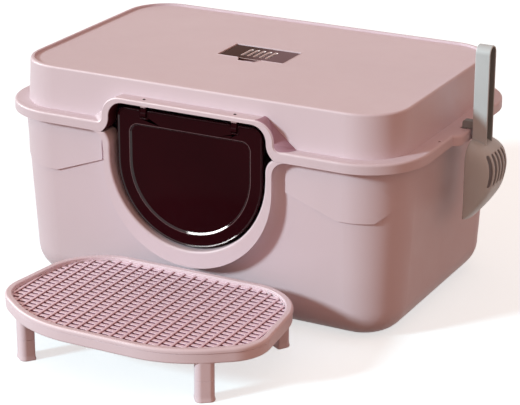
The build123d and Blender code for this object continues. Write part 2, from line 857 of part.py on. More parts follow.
def make_step_top():
    """Rim with a sunk grille of long bars over cross ribs."""
    rim = layer(step_outline(0), seam_z, step_height)
    rim = fillet(rim.edges().group_by(Axis.Z)[-1], step_rim_round)
    rim = rim - layer(step_outline(step_rim_width), seam_z - past, step_height + past)
    plan = step_outline(step_rim_width - grille_border)
    holes = step_outline(step_rim_width + grille_border)
    span = 2 * step_side_half
    columns = 2 * int(step_side_half / grille_pitch_x) + 1
    rows = int(step_depth / grille_pitch_y)
    bars = holes & Sketch() + grille_stripes(
        columns, grille_pitch_x, grille_hole_x, span, 0
    )
    ribs = holes & Sketch() + grille_stripes(rows, grille_pitch_y, grille_hole_y, span, 90)
    body = rim + (layer(plan, grille_mid, grille_z) - layer(bars, grille_mid, grille_z))
    body = body + (layer(plan, grille_low, grille_mid) - layer(ribs, grille_low, grille_mid))
    lip = skirt_inset + skirt_wall + locating_play
    ring = layer(step_outline(lip), grille_low, seam_z + past)
    inner = layer(step_outline(lip + locating_lip), grille_low, seam_z + past)
    return body + (ring - inner)


def leg_places():
    """Name, position and outward turn of each leg."""
    return [
        ("front_left", -front_leg_x, front_leg_back, 180 - front_leg_turn),
        ("front_right", front_leg_x, front_leg_back, front_leg_turn),
        ("rear_left", -rear_leg_x, rear_leg_back, 180 - rear_leg_turn),
        ("rear_right", rear_leg_x, rear_leg_back, rear_leg_turn),
    ]


def leg_outline(x, y, turn, grow):
    """Plan of a leg: a rectangle, rounder on its outer side."""
    plan = Rectangle(leg_wide, leg_deep)
    plan = fillet(plan.vertices().group_by(Axis.Y)[-1], leg_round)
    plan = fillet(plan.vertices().group_by(Axis.Y)[0], leg_inner_round)
    if grow != 0:
        plan = offset(plan, amount=grow, kind=Kind.INTERSECTION)
    return Pos(step_x + x, step_back - y) * Rot(0, 0, turn - 90) * plan


def make_step_frame():
    """Skirt ring under the step's rim, with a socket for each leg."""
    low = skirt_top - skirt_height
    body = layer(step_outline(skirt_inset), low, skirt_top)
    body = body - layer(step_outline(skirt_inset + skirt_wall), low, skirt_top)
    for _, x, y, turn in leg_places():
        body = body + layer(leg_outline(x, y, turn, 0), leg_seam, grille_low - seat_gap)
    for _, x, y, turn in leg_places():
        pocket = leg_outline(x, y, turn, -socket_wall)
        body = body - layer(pocket, leg_seam - past, leg_seam + plug_depth + plug_play)
    return body


def make_leg(x, y, turn):
    """Leg with a plug that fits its socket and a slightly flared foot."""
    body = layer(leg_outline(x, y, turn, 0), 0, leg_seam)
    plug = leg_outline(x, y, turn, -socket_wall - plug_play)
    body = body + layer(plug, leg_seam, leg_seam + plug_depth)
    slope = math.degrees(math.atan(foot_flare / foot_height))
    return body + extrude(leg_outline(x, y, turn, foot_flare), amount=foot_height, taper=slope)


pieces = {
    "tub": make_tub(),
    "lid": make_lid(),
    "door_flap": make_door(),
    "door_hinge_clip_left": make_clip(-1),
    "door_hinge_clip_right": make_clip(1),
    "deodoriser_cover": make_cover(),
    "deodoriser_basket": make_basket(),
    "charcoal_pack": make_pack(),
    "scoop": make_scoop(),
    "step_top": make_step_top(),
    "step_frame": make_step_frame(),
}
for leg_name, leg_x, leg_y, leg_turn in leg_places():
    pieces["step_leg_" + leg_name] = make_leg(leg_x, leg_y, leg_turn)

os.makedirs("parts", exist_ok=True)
for name, piece in pieces.items():
    export_step(piece, os.path.join("parts", name + ".step"))
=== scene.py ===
import math

import bmesh
import bpy
import numpy as np
from mathutils import Matrix, Vector


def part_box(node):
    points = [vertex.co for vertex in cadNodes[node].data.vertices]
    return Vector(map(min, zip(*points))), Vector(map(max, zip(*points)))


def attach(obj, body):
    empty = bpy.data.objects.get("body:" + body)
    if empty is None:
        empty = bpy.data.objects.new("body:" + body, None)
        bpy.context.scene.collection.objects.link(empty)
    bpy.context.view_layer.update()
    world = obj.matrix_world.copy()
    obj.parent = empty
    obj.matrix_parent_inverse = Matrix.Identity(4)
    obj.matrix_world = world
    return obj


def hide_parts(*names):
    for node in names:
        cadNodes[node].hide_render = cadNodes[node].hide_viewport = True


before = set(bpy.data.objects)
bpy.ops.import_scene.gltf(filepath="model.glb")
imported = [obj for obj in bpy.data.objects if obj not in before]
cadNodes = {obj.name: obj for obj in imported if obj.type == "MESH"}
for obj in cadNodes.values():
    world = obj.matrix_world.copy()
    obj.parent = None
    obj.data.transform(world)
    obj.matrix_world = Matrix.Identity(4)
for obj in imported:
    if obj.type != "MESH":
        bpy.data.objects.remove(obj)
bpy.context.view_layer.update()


def addNode(tree, kind, place, **sockets):
    # a shader node at its place, with its sockets set by name
    node = tree.nodes.new(kind)
    node.location = place
    for name, value in sockets.items():
        node.inputs[name.replace("_", " ")].default_value = value
    return node


def grain(tree, coords, place, scale, detail=2.0, rough=0.55):
    # fractal noise over the coordinates
    node = addNode(tree, "ShaderNodeTexNoise", place, Scale=scale, Detail=detail, Roughness=rough)
    tree.links.new(coords, node.inputs["Vector"])
    return node.outputs["Fac"]


def ranged(tree, value, place, low, high, fromLow=0.3, fromHigh=0.7):
    # a value carried straight from one range to another, and held at its ends
    node = addNode(tree, "ShaderNodeMapRange", place)
    for socket, number in zip(("From Min", "From Max", "To Min", "To Max"), (fromLow, fromHigh, low, high)):
        node.inputs[socket].default_value = number
    tree.links.new(value, node.inputs["Value"])
    return node.outputs["Result"]


def blended(tree, factor, place, first, second):
    # two colours mixed by a factor
    node = tree.nodes.new("ShaderNodeMix")
    node.location = place
    node.data_type = "RGBA"
    node.inputs[6].default_value = (*first, 1)
    node.inputs[7].default_value = (*second, 1)
    tree.links.new(factor, node.inputs["Factor"])
    return node.outputs[2]


def mouldedPlastic(name, look):
    # cloudy tone + fine moulding texture + faint handling scuffs, all on Object coordinates
    material = bpy.data.materials.new(name)
    material.use_nodes = True
    tree = material.node_tree
    shader = tree.nodes["Principled BSDF"]
    coords = addNode(tree, "ShaderNodeTexCoord", (-1300, 0)).outputs["Object"]
    cloud = grain(tree, coords, (-1050, 300), look["cloudScale"])
    fine = grain(tree, coords, (-1050, 0), look["grainScale"])
    scuff = grain(tree, coords, (-1050, -300), look["scuffScale"], detail=6.0, rough=0.7)
    spread = ranged(tree, cloud, (-800, 300), 0.0, 1.0)
    tone = blended(tree, spread, (-500, 300), look["light"], look["dark"])
    if "shift" in look:  # a second, paler tone that takes over along X between two places: a painted reflection
        parts = addNode(tree, "ShaderNodeSeparateXYZ", (-1050, 600))
        tree.links.new(coords, parts.inputs[0])
        reflectionSpread = ranged(tree, cloud, (-800, 600), 0.0, 1.0)
        far = blended(tree, reflectionSpread, (-500, 600), look["paintedReflectionLight"], look["paintedReflectionDark"])
        along = ranged(tree, parts.outputs["X"], (-800, 850), 0.0, 1.0, *look["shift"])
        both = blended(tree, along, (-250, 500), (0, 0, 0), (0, 0, 0))
        tree.links.new(tone, both.node.inputs[6])
        tree.links.new(far, both.node.inputs[7])
        tone = both
    tree.links.new(tone, shader.inputs["Base Color"])
    low, high = look["roughness"]
    worn = ranged(tree, scuff, (-800, -300), low, high)
    tree.links.new(worn, shader.inputs["Roughness"])
    bump = addNode(tree, "ShaderNodeBump", (-300, -150), Strength=look["bump"], Distance=look["bumpDepth"])
    tree.links.new(fine, bump.inputs["Height"])
    tree.links.new(bump.outputs["Normal"], shader.inputs["Normal"])
    shader.inputs["Specular IOR Level"].default_value = look["specular"]
    return material


pinkLook = {
    "light": (0.715, 0.612, 0.668), "dark": (0.690, 0.587, 0.642),
    "cloudScale": 9.0, "grainScale": 1900.0, "scuffScale": 55.0,
    "roughness": (0.38, 0.50), "bump": 0.35, "bumpDepth": 0.00012, "specular": 0.26,
}
stepLook = dict(pinkLook, light=(0.805, 0.690, 0.755), dark=(0.775, 0.662, 0.725))
# gapShadeLook: painted shade for the side faces that look into the grille's gaps
gapShadeLook = dict(pinkLook, light=(0.335, 0.165, 0.235), dark=(0.300, 0.140, 0.205), specular=0.1)
# barTopLightLook: painted light, the tops of the grille's bars and ribs made paler than the step
barTopLightLook = dict(pinkLook, light=(0.930, 0.765, 0.880), dark=(0.900, 0.735, 0.850))
# cheekShadeLook: painted shade, a darker rose for the hood's right flank
cheekShadeLook = dict(pinkLook, light=(0.430, 0.262, 0.330), dark=(0.395, 0.235, 0.300))
flapLook = {
    "light": (0.0230, 0.0016, 0.0036), "dark": (0.0180, 0.0012, 0.0028),
    "cloudScale": 7.0, "grainScale": 700.0, "scuffScale": 80.0,
    "roughness": (0.13, 0.20), "bump": 0.06, "bumpDepth": 0.00005, "specular": 0.035,
}
# flapEdgeHighlightLook: glossier than the flap, and its paler colour is a painted highlight line along the
# flap's edges
flapEdgeHighlightLook = {
    "light": (0.120, 0.060, 0.066), "dark": (0.085, 0.040, 0.045),
    "cloudScale": 30.0, "grainScale": 700.0, "scuffScale": 80.0,
    "roughness": (0.14, 0.22), "bump": 0.05, "bumpDepth": 0.00005, "specular": 0.5,
}
flapBevelLook = dict(flapLook, roughness=(0.08, 0.12), specular=0.45)
hingeLook = dict(flapLook, roughness=(0.38, 0.50), bump=0.3, specular=0.03)
# linerShadeLook: painted shade, a dark sheet inside the hood's opening
linerShadeLook = dict(hingeLook, light=(0.085, 0.022, 0.030), dark=(0.070, 0.017, 0.024))
# coverLook: a smoky brown plate whose paler far tone along X is a painted reflection
coverLook = {
    "light": (0.074, 0.023, 0.010), "dark": (0.058, 0.018, 0.007),
    "cloudScale": 12.0, "grainScale": 900.0, "scuffScale": 90.0,
    "roughness": (0.14, 0.22), "bump": 0.08, "bumpDepth": 0.00005, "specular": 0.008,
    "shift": (-0.018, 0.012), "paintedReflectionLight": (0.215, 0.135, 0.155), "paintedReflectionDark": (0.185, 0.115, 0.130),
}
# cutEdgeHighlightLook: painted highlight, near-white edges round the cover's slots and plate
cutEdgeHighlightLook = {
    "light": (0.93, 0.86, 0.87), "dark": (0.85, 0.77, 0.78),
    "cloudScale": 90.0, "grainScale": 1500.0, "scuffScale": 200.0,
    "roughness": (0.22, 0.32), "bump": 0.1, "bumpDepth": 0.00005, "specular": 0.4,
}
basketLook = {
    "light": (0.42, 0.30, 0.33), "dark": (0.36, 0.25, 0.28),
    "cloudScale": 15.0, "grainScale": 1500.0, "scuffScale": 90.0,
    "roughness": (0.38, 0.5), "bump": 0.2, "bumpDepth": 0.0001, "specular": 0.4,
}
scoopLook = {
    "light": (0.570, 0.640, 0.665), "dark": (0.530, 0.600, 0.625),
    "cloudScale": 14.0, "grainScale": 1700.0, "scuffScale": 70.0,
    "roughness": (0.34, 0.46), "bump": 0.3, "bumpDepth": 0.0001, "specular": 0.26,
}
# scoopInnerShadeLook: its darker colour is painted shade in the handle's channel and on the hook; its higher
# roughness is a matte finish
scoopInnerShadeLook = dict(
    scoopLook, light=(0.300, 0.340, 0.350), dark=(0.260, 0.300, 0.310), roughness=(0.55, 0.68))
charcoalLook = {
    "light": (0.020, 0.019, 0.019), "dark": (0.009, 0.009, 0.009),
    "cloudScale": 160.0, "grainScale": 2600.0, "scuffScale": 200.0,
    "roughness": (0.85, 0.97), "bump": 0.9, "bumpDepth": 0.0004, "specular": 0.2,
}
pinkPlastic = mouldedPlastic("satinPinkPlastic", pinkLook)
stepPlastic = mouldedPlastic("satinPinkStep", stepLook)
stepGapShade = mouldedPlastic("paintedShadeGap", gapShadeLook)
stepBarTopLight = mouldedPlastic("paintedLightBarTop", barTopLightLook)
cheekShadePlastic = mouldedPlastic("paintedShadeCheek", cheekShadeLook)
flapPlastic = mouldedPlastic("glossyDarkFlap", flapLook)
flapEdgeHighlight = mouldedPlastic("polishedFlapEdgePaintedHighlight", flapEdgeHighlightLook)
flapBevel = mouldedPlastic("polishedFlapBevel", flapBevelLook)
hingePlastic = mouldedPlastic("darkHingeClip", hingeLook)
linerShadePlastic = mouldedPlastic("paintedShadeLiner", linerShadeLook)
coverPlastic = mouldedPlastic("smokyCoverPaintedReflection", coverLook)
cutEdgeHighlight = mouldedPlastic("paintedHighlightCutEdge", cutEdgeHighlightLook)
basketPlastic = mouldedPlastic("basketPlastic", basketLook)
scoopPlastic = mouldedPlastic("greyScoopPlastic", scoopLook)
scoopInnerShade = mouldedPlastic("matteScoopInsidePaintedShade", scoopInnerShadeLook)
charcoalCloth = mouldedPlastic("charcoalCloth", charcoalLook)
finishOf = {
    "tub": pinkPlastic, "lid": pinkPlastic, "step_frame": stepPlastic, "step_top": stepPlastic,
    "door_flap": flapPlastic, "door_hinge_clip_left": hingePlastic, "door_hinge_clip_right": hingePlastic,
    "deodoriser_cover": coverPlastic, "deodoriser_basket": basketPlastic,
    "charcoal_pack": charcoalCloth, "scoop": scoopPlastic,
}
for nodeName, node in cadNodes.items():  # hidden nodes get theirs too
    node.data.materials.clear()
    node.data.materials.append(finishOf.get(nodeName, pinkPlastic))
print("materials ready")


stageLook = {
    "floorHalf": 6.0,
    "floorSeen": (0.62, 0.80, 0.88), "floorGlow": (0.63, 0.63, 0.63),  # seen directly: lit part, added glow
    "floorBounce": (0.31, 0.19, 0.14),  # what the floor throws back at the object
    "sky": (0.57, 0.33, 0.255), "skyLevel": 1.0,
    "keyFrom": (-0.54, -0.743, 0.396), "keyLevel": 2.48, "keySoftness": 9.0, "keyColour": (0.79, 0.965, 1.0),
    "stripFrom": (-0.794, -0.166, 0.585), "stripAlong": (-0.589, 0.448, -0.673),
    "stripAim": (0.025, -0.180, 0.108), "stripAway": 2.6,
    "stripWide": 2.9, "stripTall": 0.45, "stripPower": 210.0,
}


def seenDirectly(tree, place):
    # 1 for camera, glossy and transmission rays, so that gloss mirrors the same white background
    path = addNode(tree, "ShaderNodeLightPath", place)
    total = path.outputs["Is Camera Ray"]
    for step, ray in enumerate(("Is Glossy Ray", "Is Transmission Ray")):
        both = addNode(tree, "ShaderNodeMath", (place[0] + 180 * (step + 1), place[1]))
        both.operation = "MAXIMUM"
        tree.links.new(total, both.inputs[0])
        tree.links.new(path.outputs[ray], both.inputs[1])
        total = both.outputs[0]
    return total


def makeFloor(look):
    # a flat square on the ground plane
    half = look["floorHalf"]
    mesh = bpy.data.meshes.new("studioFloor")
    corners = [(-half, -half, 0), (half, -half, 0), (half, half, 0), (-half, half, 0)]
    mesh.from_pydata(corners, [], [(0, 1, 2, 3)])
    floor = bpy.data.objects.new("studioFloor", mesh)
    bpy.context.scene.collection.objects.link(floor)
    material = bpy.data.materials.new("whiteGround")
    material.use_nodes = True
    tree = material.node_tree
    tree.nodes.clear()
    out = addNode(tree, "ShaderNodeOutputMaterial", (600, 0))
    direct = seenDirectly(tree, (-600, 500))
    seen = addNode(tree, "ShaderNodeBsdfDiffuse", (-300, 0), Color=(*look["floorSeen"], 1))
    bounce = addNode(tree, "ShaderNodeBsdfDiffuse", (-300, -200), Color=(*look["floorBounce"], 1))
    glow = addNode(tree, "ShaderNodeEmission", (-300, 200), Color=(*look["floorGlow"], 1))
    lit = addNode(tree, "ShaderNodeAddShader", (0, 100))
    pick = addNode(tree, "ShaderNodeMixShader", (300, 0))
    tree.links.new(seen.outputs[0], lit.inputs[0])
    tree.links.new(glow.outputs[0], lit.inputs[1])
    tree.links.new(direct, pick.inputs[0])
    tree.links.new(bounce.outputs[0], pick.inputs[1])
    tree.links.new(lit.outputs[0], pick.inputs[2])
    tree.links.new(pick.outputs[0], out.inputs["Surface"])
    mesh.materials.append(material)


def makeWorld(look):
    # a tinted sky that lights the object, and plain white where it is seen directly
    world = bpy.data.worlds.new("studioWorld")
    bpy.context.scene.world = world
    world.use_nodes = True
    tree = world.node_tree
    tree.nodes.clear()
    out = addNode(tree, "ShaderNodeOutputWorld", (600, 0))
    sky = addNode(tree, "ShaderNodeBackground", (0, 0), Color=(*look["sky"], 1), Strength=look["skyLevel"])
    white = addNode(tree, "ShaderNodeBackground", (0, -200), Color=(1, 1, 1, 1), Strength=1.0)
    pick = addNode(tree, "ShaderNodeMixShader", (300, 0))
    tree.links.new(seenDirectly(tree, (-300, 300)), pick.inputs[0])
    tree.links.new(sky.outputs[0], pick.inputs[1])
    tree.links.new(white.outputs[0], pick.inputs[2])
    tree.links.new(pick.outputs[0], out.inputs["Surface"])


def makeLamp(look, part):
    # a distant soft lamp that shines from its own direction
    lamp = bpy.data.lights.new(part + "Lamp", "SUN")
    lamp.energy = look[part + "Level"]
    lamp.angle = math.radians(look[part + "Softness"])
    lamp.color = look[part + "Colour"]
    placed = bpy.data.objects.new(part + "Lamp", lamp)
    bpy.context.scene.collection.objects.link(placed)
    placed.rotation_euler = Vector(look[part + "From"]).to_track_quat("Z", "Y").to_euler()


def makeStrip(look):
    # a long softbox that only makes highlights: it faces one point, and its width runs along its own line
    lamp = bpy.data.lights.new("stripLamp", "AREA")
    lamp.shape = "RECTANGLE"
    lamp.size, lamp.size_y, lamp.energy = look["stripWide"], look["stripTall"], look["stripPower"]
    strip = bpy.data.objects.new("stripLamp", lamp)
    bpy.context.scene.collection.objects.link(strip)
    toward = Vector(look["stripFrom"]).normalized()
    across = toward.cross(Vector(look["stripAlong"])).normalized()
    strip.location = Vector(look["stripAim"]) + toward * look["stripAway"]
    strip.rotation_euler = Matrix((across.cross(toward), across, toward)).transposed().to_euler()
    strip.visible_diffuse = False
    strip.visible_camera = False


makeFloor(stageLook)
makeWorld(stageLook)
makeLamp(stageLook, "key")
makeStrip(stageLook)
print("studio ready")


cameraLook = {
    "place": (1.1190, -2.1467, 0.9890), "aim": (-0.0185, 0.0, 0.0830),
    "lens": 138.8, "sensor": 36.0, "shiftX": 0.0271, "shiftY": 0.0006,
}


def makeCamera(look):
    # a long lens that looks from its place straight at the aim
    data = bpy.data.cameras.new("studioCamera")
    data.lens = look["lens"]
    data.sensor_width = look["sensor"]
    data.shift_x, data.shift_y = look["shiftX"], look["shiftY"]
    camera = bpy.data.objects.new("studioCamera", data)
    bpy.context.scene.collection.objects.link(camera)
    camera.location = look["place"]
    toward = Vector(look["aim"]) - Vector(look["place"])
    camera.rotation_euler = toward.to_track_quat("-Z", "Y").to_euler()
    bpy.context.scene.camera = camera


makeCamera(cameraLook)
bpy.context.scene.view_settings.view_transform = "Standard"
print("camera ready")


# shapes are worked out in millimetres and become metres when a piece is made
def roundedLoop(corners, radii, steps):
    # a closed polygon, anticlockwise, each corner an arc tangent to its sides: points and outward normals
    corners, radii = np.asarray(corners, float), np.asarray(radii, float)
    ahead = np.roll(corners, -1, 0) - corners
    ahead /= np.linalg.norm(ahead, axis=1, keepdims=True)
    behind = np.roll(ahead, 1, 0)
    cross = behind[:, 0] * ahead[:, 1] - behind[:, 1] * ahead[:, 0]
    turn = np.arctan2(cross, (behind * ahead).sum(1))
    radii = radii * np.where(turn < 0, -1.0, 1.0)
    left = np.stack([-behind[:, 1], behind[:, 0]], 1)
    centre = corners - behind * (np.tan(turn / 2) * radii)[:, None] + left * radii[:, None]
    start = np.arctan2(behind[:, 1], behind[:, 0]) - np.pi / 2
    angle = start[:, None] + turn[:, None] * np.linspace(0, 1, steps)[None, :]
    normals = np.stack([np.cos(angle), np.sin(angle)], -1)
    points = centre[:, None, :] + radii[:, None, None] * normals
    return points.reshape(-1, 2), normals.reshape(-1, 2)


def gridFaces(rows, columns, closeRows=False, closeColumns=False):
    # quads between neighbouring rows and columns of a point grid
    row = np.arange(rows if closeRows else rows - 1)[:, None]
    column = np.arange(columns if closeColumns else columns - 1)[None, :]
    nextRow, nextColumn = (row + 1) % rows, (column + 1) % columns
    corners = [row * columns + column, nextRow * columns + column,
               nextRow * columns + nextColumn, row * columns + nextColumn]
    return np.stack(np.broadcast_arrays(*corners), -1).reshape(-1, 4)


def placed(loop, level, plane):
    # a flat loop put at a level: "xy" level is z, "xz" level is y, "yz" level is x
    flat = np.full(len(loop), float(level))
    first, second = loop[:, 0], loop[:, 1]
    order = {"xy": (first, second, flat), "xz": (first, flat, second), "yz": (flat, first, second)}
    return np.stack(order[plane], 1)


def loft(loops, closeRows=False, caps=True):
    # loops of equal length joined in order; the first and last are closed by a flat face
    grid = np.stack(loops)
    rows, columns = grid.shape[:2]
    faces = gridFaces(rows, columns, closeRows, True).tolist()
    if caps and not closeRows:
        faces += [list(range(columns)), list(range((rows - 1) * columns, rows * columns))]
    return grid.reshape(-1, 3), faces


def slab(loop, normals, steps, plane, closeRows=False, caps=True):
    # one loop carried through (inset, level) pairs
    return loft([placed(loop - normals * inset, level, plane) for inset, level in steps], closeRows, caps)


def rod(start, end, radius, sides=20, edge=0.3):
    # a straight rod with softened ends: circles about its own line
    start, end = np.asarray(start, float), np.asarray(end, float)
    length = np.linalg.norm(end - start)
    along = (end - start) / length
    side = np.cross(along, (0.0, 0.0, 1.0) if abs(along[2]) < 0.9 else (1.0, 0.0, 0.0))
    side /= np.linalg.norm(side)
    angle = np.linspace(0, 2 * np.pi, sides, endpoint=False)[:, None]
    ring = np.cos(angle) * side + np.sin(angle) * np.cross(along, side)
    shape = [(0.0, radius - edge), (edge, radius), (length - edge, radius), (length, radius - edge)]
    return loft([start + along * at + ring * size for at, size in shape])


def joined(shells):
    # several shells as one list of points and faces
    points, faces, count = [], [], 0
    for shellPoints, shellFaces in shells:
        points.append(shellPoints)
        faces += [[corner + count for corner in face] for face in shellFaces]
        count += len(shellPoints)
    return np.concatenate(points), faces


def filledBetween(rings, normal):
    # a flat face with holes: the first ring is its edge and the others stay open
    points = np.concatenate(rings)
    sizes = [len(ring) for ring in rings]
    starts = np.cumsum([0] + sizes[:-1])
    around = [start + np.arange(size) for start, size in zip(starts, sizes)]
    edges = np.concatenate([np.stack([ring, np.roll(ring, -1)], 1) for ring in around])
    mesh = bpy.data.meshes.new("flatFill")
    mesh.from_pydata(points.tolist(), edges.tolist(), [])
    flat = bmesh.new()
    flat.from_mesh(mesh)
    bmesh.ops.triangle_fill(flat, use_beauty=True, use_dissolve=False, edges=flat.edges[:], normal=normal)
    flat.to_mesh(mesh)
    flat.free()
    faces = [list(face.vertices) for face in mesh.polygons]
    points = np.empty(3 * len(mesh.vertices), np.float32)
    mesh.vertices.foreach_get("co", points)
    bpy.data.meshes.remove(mesh)
    return points.reshape(-1, 3).astype(float), faces


def makePiece(name, shells, material, body, stands=(), sharp=35.0, solid=True, trims=()):
    # shells to one mesh in metres: doubles merged, faces turned outwards, smooth but for the sharp edges
    points, faces = joined(shells)
    mesh = bpy.data.meshes.new(name)
    mesh.from_pydata((points * 0.001).tolist(), [], faces)
    index = np.zeros(len(faces), np.int32)
    for number, (_, chosen) in enumerate(trims):  # the faces numbered here take another finish
        index[chosen] = number + 1
    mesh.polygons.foreach_set("material_index", index)
    tidy = bmesh.new()
    tidy.from_mesh(mesh)
    bmesh.ops.remove_doubles(tidy, verts=tidy.verts, dist=1e-6)
    bmesh.ops.dissolve_degenerate(tidy, edges=tidy.edges, dist=1e-7)
    if solid:
        bmesh.ops.recalc_face_normals(tidy, faces=tidy.faces)
    tidy.to_mesh(mesh)
    tidy.free()
    mesh.polygons.foreach_set("use_smooth", np.ones(len(mesh.polygons), bool))
    mesh.set_sharp_from_angle(angle=math.radians(sharp))
    mesh.materials.append(material)
    for other, _ in trims:
        mesh.materials.append(other)
    piece = bpy.data.objects.new(name, mesh)
    bpy.context.scene.collection.objects.link(piece)
    if solid:  # large faces keep their own direction beside small rounded ones
        even = piece.modifiers.new("even", "WEIGHTED_NORMAL")
        even.keep_sharp = True
    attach(piece, body)
    if stands:
        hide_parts(*stands)
    return piece


flapShape = {
    "half": 98.5, "low": 89.0, "high": 253.0, "corner": 12.0,
    "face": -181.013, "back": -176.613, "edge": 0.8, "sunk": 1.2,
    "rim": ((0.95, 0.0), (1.05, 0.05), (2.20, 1.15), (2.30, 1.2), (2.42, 1.2)), "rimBright": 243.0,
    "border": 16.0, "head": 18.5, "panelCorner": 10.0, "recess": 2.1, "ease": 0.12, "line": 0.6, "beyond": 1.0,
    "hinge": 61.7, "notchHalf": 4.1, "notchLow": 243.5, "notchRounds": [2.5, 0.5, 0.5, 2.5],
    "pinY": -178.813, "pinZ": 248.5, "pinRadius": 1.8, "pinHalf": 5.0, "backShare": 0.6, "arcSteps": 24,
}


def flapLoop(shape, inset, head, corner, notched):
    # two quarter circles below, straight sides and a straight top, with two hinge notches let into it
    half, low, high = shape["half"] - inset, shape["low"] + inset, shape["high"] - head
    if notched:
        right, left = shape["hinge"] + shape["notchHalf"], shape["hinge"] - shape["notchHalf"]
        deep = shape["notchLow"] + inset
        top = [(right, high), (right, deep), (left, deep), (left, high),
               (-left, high), (-left, deep), (-right, deep), (-right, high)]
        rounds = shape["notchRounds"] * 2
    else:  # a plain top with as many points, so that both kinds of loop can be joined
        top = [(x, high) for x in np.linspace(half - corner, corner - half, 10)[1:-1]]
        rounds = [0.0] * len(top)
    corners = [(half, high)] + top + [(-half, high), (-half, low), (half, low)]
    return roundedLoop(corners, [corner] + rounds + [corner, half, half], shape["arcSteps"])


def makeFlap(shape):
    # the outline carried from the back over a quarter-round edge and the rim, then the panel's loops
    face, back, edge = shape["face"], shape["back"], shape["edge"]
    outer, normals = flapLoop(shape, 0.0, 0.0, shape["corner"], True)
    bend = np.linspace(0, np.pi / 2, 5)
    rolled = [(edge * (1 - np.sin(a)), face + edge * (1 - np.cos(a))) for a in bend]
    bevel = edge * shape["backShare"]
    rows = [placed(outer - normals * bevel, back, "xz"), placed(outer, back - bevel, "xz")]
    rows += [placed(outer - normals * inset, level, "xz") for inset, level in rolled[::-1]]
    # the raised rim's inner side and the panel's edge are flat 45-degree bevels with eased lines
    rimFirst = len(rows)
    rows += [placed(outer - normals * inset, face + fall, "xz") for inset, fall in shape["rim"]]
    face += shape["sunk"]
    recess, ease, beyond = shape["recess"], shape["ease"], shape["beyond"]
    steps = [(-beyond, 0.0), (-shape["line"], 0.0), (-ease, 0.0), (ease / 2, ease / 2),
             (recess - ease / 2, recess - ease / 2), (recess + ease, recess), (recess + beyond, recess)]
    first = len(rows)
    for more, sunk in steps:
        corner = shape["panelCorner"] + recess - more
        ring, _ = flapLoop(shape, shape["border"] + more, shape["head"] + more, corner, False)
        rows.append(placed(ring, face + sunk, "xz"))
    shells = [loft(rows)]
    # painted highlight: the first band of the rolled edge and the two that lead up to the panel's bevel take a
    # paler, glossier finish
    # bevel finish: the rim's inner side, below the hinges only, and the panel's bevel
    around = np.arange(len(outer))
    low = around[outer[:, 1] < shape["rimBright"]]
    highlightBandFaces = np.concatenate([around + band * len(outer) for band in (2, first + 1, first + 2)])
    bevelFaces = np.concatenate([low + (rimFirst + band) * len(outer) for band in range(3)]
                                + [around + (first + band) * len(outer) for band in (3, 4)])
    y, z, reach = shape["pinY"], shape["pinZ"], shape["pinHalf"]
    for x in (shape["hinge"], -shape["hinge"]):
        shells.append(rod((x - reach, y, z), (x + reach, y, z), shape["pinRadius"]))
    trims = ((flapEdgeHighlight, highlightBandFaces), (flapBevel, bevelFaces))
    makePiece("flapPlate", shells, flapPlastic, "door", ("door_flap",), sharp=40.0, trims=trims)


makeFlap(flapShape)
print("flap ready")


stepShape = {
    "x": 12.0, "back": -192.213, "deep": 222.0,
    "backHalf": 155.8, "sideHalf": 175.5, "sideAt": 159.5, "frontHalf": 93.0,
    "backRound": 78.0, "sideRound": 55.0, "frontRound": 150.0,
    "seam": 60.0, "seamEdge": 0.5, "top": 65.5, "crown": 0.25,
    "rimWidth": 8.5, "rimRound": 3.2, "innerRound": 1.0,
    "grilleTop": 62.3, "grilleMid": 61.0, "grilleLow": 57.9, "border": 1.5, "ringInset": 3.9, "overlap": 0.3,
    "barPitch": 15.0, "barWidth": 3.4, "barEdge": 0.5, "barSunk": 0.1,
    "ribPitch": 8.95, "ribWidth": 5.2, "ribEdge": 0.4,
    "skirtInset": 0.8, "skirtTop": 59.7, "skirtLow": 47.5, "skirtWall": 2.6, "skirtEdge": 0.4,
    "socketTop": 57.6, "socketFoot": ((0.5, 0.0), (0.15, 0.15), (0.0, 0.5)),
    "legWide": 22.0, "legDeep": 17.0, "legOuter": 6.5, "legInner": 2.0, "legSeam": 26.0,
    "legFoot": [(0.4, 0.0), (-0.7, 0.25), (-1.0, 1.1), (-0.75, 2.4), (-0.25, 4.4), (0.0, 7.0)],
    "legHead": ((0.0, 0.6), (0.15, 0.2), (0.5, 0.0)),
    "legs": {"front_left": (-119.5, 189.0, 232.8), "front_right": (119.5, 189.0, -52.8),
             "rear_left": (-126.8, 18.2, 121.6), "rear_right": (126.8, 18.2, 58.4)},
}


def stepLoop(shape, steps=20):
    # the plan: six straight sides with an arc at each corner
    half = [(shape["sideHalf"], shape["sideAt"]), (shape["backHalf"], 0.0)]
    right = [(shape["frontHalf"], shape["deep"])] + half
    corners = [(x, -y) for x, y in right] + [(-x, -y) for x, y in right[::-1]]
    radii = [shape["frontRound"], shape["sideRound"], shape["backRound"]]
    points, normals = roundedLoop(corners, radii + radii[::-1], steps)
    return points + (shape["x"], shape["back"]), normals


def stepProfile(shape):
    # rolled outer edge, slightly crowned top, small inner edge, then the ledge that holds the grille
    seam, top, wide, big, small = (shape[k] for k in ("seam", "top", "rimWidth", "rimRound", "innerRound"))
    grilleTop, grilleLow, border = shape["grilleTop"], shape["grilleLow"], shape["border"]
    ring, edge = shape["ringInset"], shape["seamEdge"]
    a = np.linspace(0, np.pi / 2, 7)
    outer = np.stack([big * (1 - np.cos(a)), top - big + big * np.sin(a)], 1)
    inner = np.stack([wide - small + small * np.sin(a), top - shape["crown"] - small + small * np.cos(a)], 1)
    low = [(wide, grilleTop), (wide + border, grilleTop), (wide + border, grilleLow),
           (ring, grilleLow), (ring, seam), (edge, seam), (0.0, seam + edge)]
    return np.concatenate([outer, inner, low])


